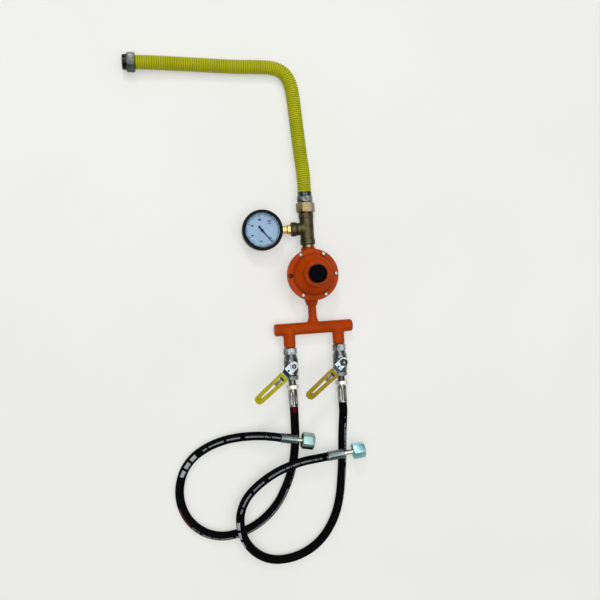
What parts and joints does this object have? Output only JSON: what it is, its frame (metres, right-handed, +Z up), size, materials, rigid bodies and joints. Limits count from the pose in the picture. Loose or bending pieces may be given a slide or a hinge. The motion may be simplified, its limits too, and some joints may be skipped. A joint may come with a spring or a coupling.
{
  "type": "gas regulator hose set",
  "caption": "Gas regulator set: ribbed outlet hose, bronze tee with gauge, round regulator, pipe manifold, ball valves with lever grips, and rubber hoses with swivel nuts.",
  "frame": {"origin": "centre of the regulator's flat back, on the floor that the set lies on", "axes": "+Y along the gas line towards the outlet hose, +Z up out of the regulator's adjuster, +X to the right of the gas line"},
  "size_m": [0.3732, 0.8923, 0.0878],
  "materials": {
    "orange_paint": "gloss paint",
    "bronze": "cast",
    "brass": "machined",
    "chrome": "plated",
    "zinc": "zinc plated",
    "steel": "satin",
    "dark_steel": "blackened",
    "yellow_cover": "satin",
    "yellow_grip": "satin",
    "rubber": "matt",
    "black_plastic": "satin",
    "dial": "painted white",
    "lens": "clear"
  },
  "bodies": {
    "set": {"gas_hose": "yellow_cover", "gas_hose_inlet_end": "chrome", "gas_hose_outlet_end": "zinc", "hex_bushing": "brass", "brass_tee": "bronze", "regulator_nipple": "brass", "gauge_case": "black_plastic", "gauge_bezel": "black_plastic", "gauge_lens": "lens", "gauge_dial": "dial", "gauge_socket": "brass", "gauge_bourdon_tube": "brass", "gauge_movement": "brass", "regulator_body": "orange_paint", "regulator_bonnet": "orange_paint", "regulator_diaphragm": "rubber", "regulator_spring": "steel", "relay_pin": "steel", "inlet_orifice": "brass", "bonnet_screw_1": "steel", "bonnet_screw_2": "steel", "bonnet_screw_3": "steel", "bonnet_screw_4": "dark_steel", "bonnet_screw_5": "steel", "bonnet_screw_6": "steel", "manifold": "orange_paint", "left_valve_body": "chrome", "left_valve_end": "chrome", "right_valve_body": "chrome", "right_valve_end": "chrome", "left_hose": "rubber", "left_hose_tail": "brass", "left_hose_ferrule": "zinc", "left_cylinder_ferrule": "zinc", "left_cylinder_tail": "zinc", "right_hose": "rubber", "right_hose_tail": "brass", "right_hose_ferrule": "zinc", "right_cylinder_ferrule": "zinc", "right_cylinder_tail": "zinc"},
    "left_valve_lever": {"left_lever": "steel", "left_grip": "yellow_grip", "left_lever_nut": "chrome", "left_valve_stem": "steel", "left_valve_ball": "chrome"},
    "right_valve_lever": {"right_lever": "steel", "right_grip": "yellow_grip", "right_lever_nut": "chrome", "right_valve_stem": "steel", "right_valve_ball": "chrome"},
    "left_swivel_nut": {"left_cylinder_nut": "zinc"},
    "right_swivel_nut": {"right_cylinder_nut": "zinc"},
    "gauge_hand": {"gauge_pointer": "dark_steel"},
    "gauge_gear": {"gauge_sector": "brass"},
    "adjuster": {"adjuster_knob": "black_plastic"},
    "spring_button": {"spring_follower": "steel"},
    "plate": {"diaphragm_plate": "steel"},
    "relay": {"relay_lever": "steel"},
    "plunger": {"valve_plunger": "rubber"}
  },
  "joints": [
    {"name": "left_lever_turn", "type": "hinge", "parent": "set", "child": "left_valve_lever", "pos_m": [-0.044, -0.1546, 0.038], "axis": [0, 0, 1], "range_deg": [-38, 52]},
    {"name": "right_lever_turn", "type": "hinge", "parent": "set", "child": "right_valve_lever", "pos_m": [0.044, -0.1546, 0.038], "axis": [0, 0, 1], "range_deg": [-38, 52]},
    {"name": "left_nut_spin", "type": "hinge", "parent": "set", "child": "left_swivel_nut", "pos_m": [-0.03558, -0.28467, 0.0254], "axis": [0.9763, -0.2164, 0], "continuous": true},
    {"name": "right_nut_spin", "type": "hinge", "parent": "set", "child": "right_swivel_nut", "pos_m": [0.05333, -0.31365, 0.0254], "axis": [0.9962, 0.0872, 0], "continuous": true},
    {"name": "gauge_gear_turn", "type": "hinge", "parent": "set", "child": "gauge_gear", "pos_m": [-0.0802, 0.068, 0.014], "axis": [0, 0, 1], "range_deg": [0, 45]},
    {"name": "gauge_hand_turn", "type": "hinge", "parent": "set", "child": "gauge_hand", "pos_m": [-0.0802, 0.082, 0.024], "axis": [0, 0, 1], "range_deg": [-270, 0]},
    {"name": "adjuster_turn", "type": "hinge", "parent": "set", "child": "adjuster", "pos_m": [0, 0, 0.078], "axis": [0, 0, 1], "range_deg": [-720, 540]},
    {"name": "spring_button_slide", "type": "slide", "parent": "set", "child": "spring_button", "axis": [0, 0, 1], "range_m": [-0.003, 0.00225], "deforming": ["regulator_spring"]},
    {"name": "plate_slide", "type": "slide", "parent": "set", "child": "plate", "axis": [0, 0, 1], "range_m": [0, 0.002], "deforming": ["regulator_diaphragm", "regulator_spring"]},
    {"name": "relay_turn", "type": "hinge", "parent": "set", "child": "relay", "pos_m": [0, 0.0155, 0.0112], "axis": [1, 0, 0], "range_deg": [-7.5, 0]},
    {"name": "plunger_slide", "type": "slide", "parent": "set", "child": "plunger", "axis": [0, 1, 0], "range_m": [0, 0.00065]}
  ],
  "couplings": [
    {"joint": "gauge_hand_turn", "follows": "gauge_gear_turn", "ratio": -6},
    {"joint": "spring_button_slide", "follows": "adjuster_turn", "m_per_rad": 0.0002387},
    {"joint": "relay_turn", "follows": "plate_slide", "rad_per_m": -64.516},
    {"joint": "plunger_slide", "follows": "plate_slide", "ratio": 0.30968}
  ]
}
